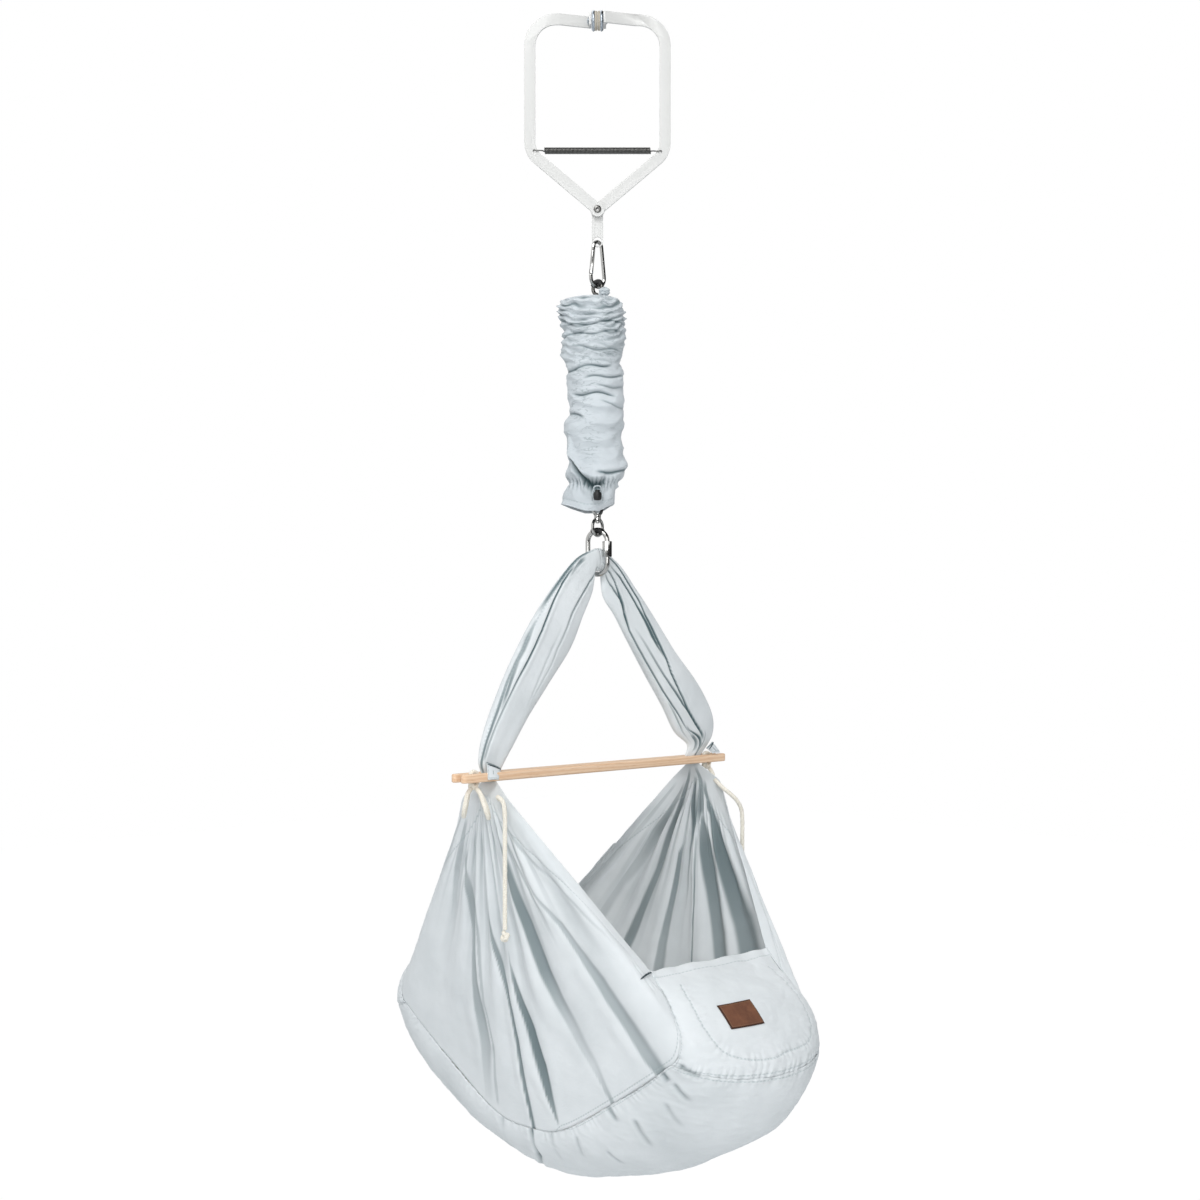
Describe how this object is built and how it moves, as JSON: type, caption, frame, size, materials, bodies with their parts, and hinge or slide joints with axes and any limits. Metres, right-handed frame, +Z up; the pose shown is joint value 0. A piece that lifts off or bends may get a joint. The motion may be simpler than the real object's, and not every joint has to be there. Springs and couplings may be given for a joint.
{
  "type": "hanging baby cradle",
  "caption": "Hanging baby cradle: pleated cloth seat on a forked wooden bar, held by cloth slings, a swivel, a covered bounce spring and a sprung door clamp",
  "frame": {"origin": "where the two pads of the door clamp meet, at the top: the cradle hangs below it", "axes": "+Z up, X along the wooden bar, -Y towards the end with the leather label"},
  "size_m": [0.59, 0.7758, 1.8525],
  "materials": {
    "white_paint": "semi-gloss white paint",
    "zinc_plate": "satin zinc plate",
    "polished_steel": "polished",
    "spring_steel": "oiled drawn wire",
    "grey_rubber": "matte",
    "black_plastic": "matte",
    "cotton": "plain woven, pleated",
    "cord_cotton": "braided",
    "beech": "oiled satin",
    "wool": "felted",
    "leather": "matte"
  },
  "bodies": {
    "clamp": {"clamp_arm_left": "white_paint", "clamp_rivet": "zinc_plate", "clamp_spring": "spring_steel", "pad_cup_left": "zinc_plate", "pad_face_left": "grey_rubber"},
    "right_arm": {"clamp_arm_right": "white_paint", "pad_cup_right": "zinc_plate", "pad_face_right": "grey_rubber"},
    "link": {"clamp_link": "white_paint"},
    "carabiner": {"carabiner_body": "polished_steel", "carabiner_gate_pin": "zinc_plate"},
    "gate": {"carabiner_gate": "polished_steel"},
    "spring": {"hook_tube": "black_plastic", "main_spring": "spring_steel", "spring_cover": "cotton"},
    "swivel": {"swivel_upper": "polished_steel", "swivel_pin": "polished_steel", "cord_stop_body": "black_plastic", "cover_cord": "cord_cotton"},
    "plunger": {"cord_stop_plunger": "black_plastic"},
    "swivel_eye": {"swivel_lower": "polished_steel"},
    "quick_link": {"quick_link": "polished_steel", "quick_link_tube": "black_plastic"},
    "nut": {"quick_link_nut": "zinc_plate"},
    "cradle": {"sling_left": "cotton", "sling_right": "cotton", "spreader_bar": "beech", "end_panel_near": "cotton", "end_panel_far": "cotton", "bottom_panel": "cotton", "side_panel_left": "cotton", "side_panel_right": "cotton", "mattress": "wool", "leather_label": "leather", "cord_knot_left": "cord_cotton", "bow_loop_left_rear": "cord_cotton", "bow_loop_left_front": "cord_cotton", "cord_tail_left": "cord_cotton", "tail_knot_left": "cord_cotton", "cord_knot_right": "cord_cotton", "bow_loop_right": "cord_cotton", "cord_tail_right": "cord_cotton", "tail_knot_right": "cord_cotton"}
  },
  "joints": [
    {"name": "clamp_open", "type": "hinge", "parent": "clamp", "child": "right_arm", "pos_m": [0, 0, -0.303], "axis": [0.7071, 0.7071, 0], "range_deg": [0, 55], "stiffness_Nm_per_rad": 4, "springref_deg": -28.65, "deforming": ["clamp_spring"]},
    {"name": "link_swing", "type": "hinge", "parent": "clamp", "child": "link", "pos_m": [0, 0, -0.303], "axis": [0.7071, 0.7071, 0], "range_deg": [-35, 35]},
    {"name": "carabiner_swing", "type": "hinge", "parent": "link", "child": "carabiner", "pos_m": [0, 0, -0.3536], "axis": [1, 0, 0], "range_deg": [-18, 18]},
    {"name": "gate_open", "type": "hinge", "parent": "carabiner", "child": "gate", "pos_m": [-0.01426, 0, -0.40376], "axis": [0, 1, 0], "range_deg": [0, 18], "stiffness_Nm_per_rad": 0.05, "springref_deg": -34.38},
    {"name": "hook_swing", "type": "hinge", "parent": "carabiner", "child": "spring", "pos_m": [0, 0, -0.4175], "axis": [0, 1, 0], "range_deg": [-20, 20]},
    {"name": "bounce", "type": "slide", "parent": "spring", "child": "swivel", "axis": [0, 0, -1], "range_m": [0, 0.2], "stiffness_N_per_m": 400, "springref_m": -0.0875, "deforming": ["main_spring", "spring_cover"]},
    {"name": "swivel_spin", "type": "hinge", "parent": "swivel", "child": "swivel_eye", "pos_m": [0, 0, -0.79], "axis": [0, 0, 1], "continuous": true},
    {"name": "quick_link_swing", "type": "hinge", "parent": "swivel_eye", "child": "quick_link", "pos_m": [0, 0, -0.8233], "axis": [0.9962, 0.0872, 0], "range_deg": [-20, 20]},
    {"name": "nut_travel", "type": "slide", "parent": "quick_link", "child": "nut", "axis": [0, 0, -1], "range_m": [0, 0.011]},
    {"name": "cradle_swing", "type": "hinge", "parent": "quick_link", "child": "cradle", "pos_m": [0, 0, -0.8852], "axis": [0.342, -0.9397, 0], "range_deg": [-15, 8]},
    {"name": "stop_press", "type": "slide", "parent": "swivel", "child": "plunger", "axis": [0, 0, -1], "range_m": [0, 0.003], "stiffness_N_per_m": 600, "springref_m": -0.004}
  ]
}
